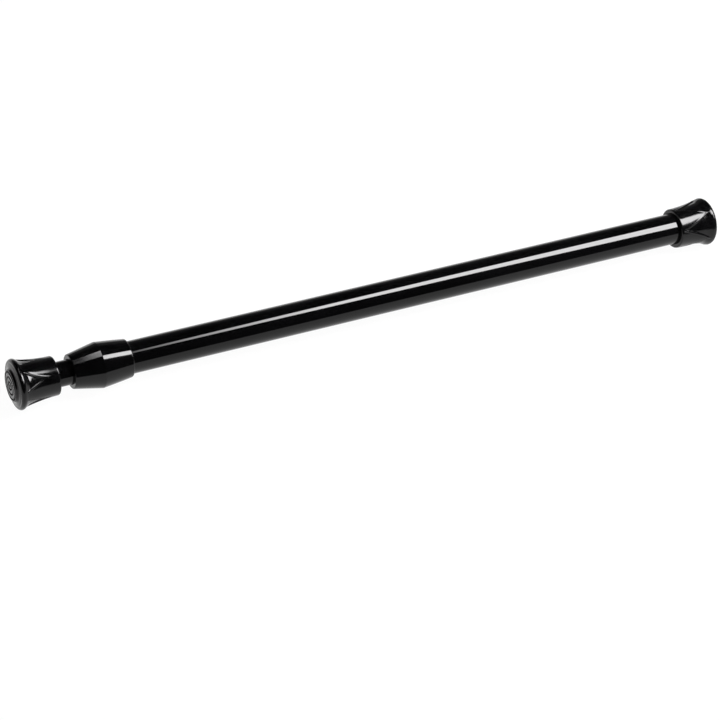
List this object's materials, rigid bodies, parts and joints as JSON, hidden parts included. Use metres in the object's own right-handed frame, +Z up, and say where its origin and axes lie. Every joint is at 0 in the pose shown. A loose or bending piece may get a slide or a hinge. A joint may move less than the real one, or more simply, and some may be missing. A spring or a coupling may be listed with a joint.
{
  "type": "door security bar",
  "caption": "Black telescoping bar with a friction twist lock, an internal spring and flared ribbed rubber ends; it wedges between two facing surfaces.",
  "frame": {"origin": "centre of the contact face of the rubber end on the thick tube", "axes": "+X along the bar to the end on the thin tube, +Z up with the bar lying level"},
  "size_m": [0.314, 0.0202, 0.0202],
  "materials": {
    "cap_rubber": "smooth gloss black soft PVC",
    "cap_rubber_sliding": "smooth gloss black soft PVC",
    "black_paint": "gloss black enamel",
    "black_paint_inner": "gloss black enamel",
    "collar_plastic": "gloss black moulded plastic",
    "sleeve_plastic": "natural nylon",
    "drag_rubber": "matte black",
    "nut_plastic": "natural nylon",
    "cone_plastic": "satin black",
    "bush_plastic": "satin black",
    "stop_plastic": "satin black",
    "spindle_steel": "zinc plated, drawn",
    "clip_steel": "spring steel",
    "head_steel": "zinc plated, turned",
    "pin_steel": "ground",
    "washer_steel": "zinc plated",
    "spring_steel": "oiled spring wire"
  },
  "bodies": {
    "outer": {"outer_tube": "black_paint", "collar": "collar_plastic", "fixed_end_cap": "cap_rubber"},
    "lock": {"expansion_sleeve": "sleeve_plastic", "drag_ring": "drag_rubber"},
    "taper": {"taper_nut": "nut_plastic"},
    "spindle": {"spindle_rod": "spindle_steel", "retaining_clip": "clip_steel", "fixed_cone": "cone_plastic", "spindle_head": "head_steel", "head_pin": "pin_steel", "spring_washer": "washer_steel"},
    "inner": {"inner_tube": "black_paint_inner", "guide_bush": "bush_plastic", "bush_pin": "pin_steel", "compression_spring": "spring_steel", "stop_washer": "washer_steel", "spring_stop": "stop_plastic", "spring_stop_pin": "pin_steel", "sliding_end_cap": "cap_rubber_sliding"}
  },
  "joints": [
    {"name": "length_adjust", "type": "slide", "parent": "outer", "child": "lock", "axis": [1, 0, 0], "range_m": [0, 0.186]},
    {"name": "twist_lock", "type": "hinge", "parent": "lock", "child": "spindle", "pos_m": [0.028, 0, 0], "axis": [1, 0, 0], "range_deg": [0, 540]},
    {"name": "taper_travel", "type": "slide", "parent": "lock", "child": "taper", "axis": [1, 0, 0], "range_m": [-0.00226, 0]},
    {"name": "spring_travel", "type": "slide", "parent": "spindle", "child": "inner", "axis": [1, 0, 0], "range_m": [-0.0055, 0], "stiffness_N_per_m": 2000, "springref_m": 0.008, "deforming": ["compression_spring"]}
  ],
  "couplings": [
    {"joint": "taper_travel", "follows": "twist_lock", "m_per_rad": -0.00023873}
  ]
}
